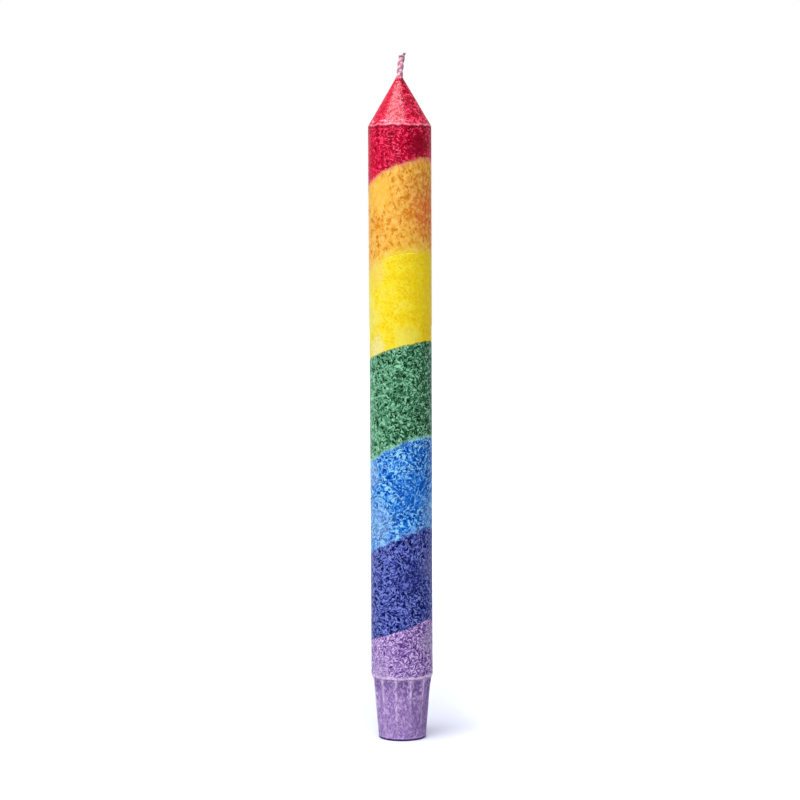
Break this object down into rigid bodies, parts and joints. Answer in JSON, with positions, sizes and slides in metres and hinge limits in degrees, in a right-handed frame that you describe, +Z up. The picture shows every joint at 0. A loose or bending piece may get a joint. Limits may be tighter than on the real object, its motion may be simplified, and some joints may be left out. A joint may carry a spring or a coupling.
{
  "type": "dinner candle",
  "caption": "Tall round dinner candle in stacked slanted layers of coloured crystalline wax, with a pointed tip, a braided cotton wick and a tapered fluted foot for a holder.",
  "frame": {"origin": "centre of the foot's flat underside", "axes": "+Z up along the candle's axis towards the wick, the pictured front faces -Y, +X to the right"},
  "size_m": [0.023, 0.023, 0.2496],
  "materials": {
    "red_wax": "satin crystalline stearin wax, crimson with pale pink needles",
    "orange_wax": "satin crystalline stearin wax, orange with amber streaks",
    "yellow_wax": "satin crystalline stearin wax, lemon yellow with pale flakes",
    "green_wax": "satin crystalline stearin wax, green mottled dark and pale",
    "blue_wax": "satin crystalline stearin wax, light blue mottled dark and pale",
    "indigo_wax": "satin crystalline stearin wax, indigo with pale needles",
    "violet_wax": "satin crystalline stearin wax, violet with pale needles",
    "wick_cotton": "waxed braided cotton, pale pink"
  },
  "bodies": {
    "root": {"red_tip_layer": "red_wax", "orange_layer": "orange_wax", "yellow_layer": "yellow_wax", "green_layer": "green_wax", "blue_layer": "blue_wax", "indigo_layer": "indigo_wax", "violet_foot_layer": "violet_wax", "wick_strand_1": "wick_cotton", "wick_strand_2": "wick_cotton", "wick_strand_3": "wick_cotton"}
  },
  "joints": []
}
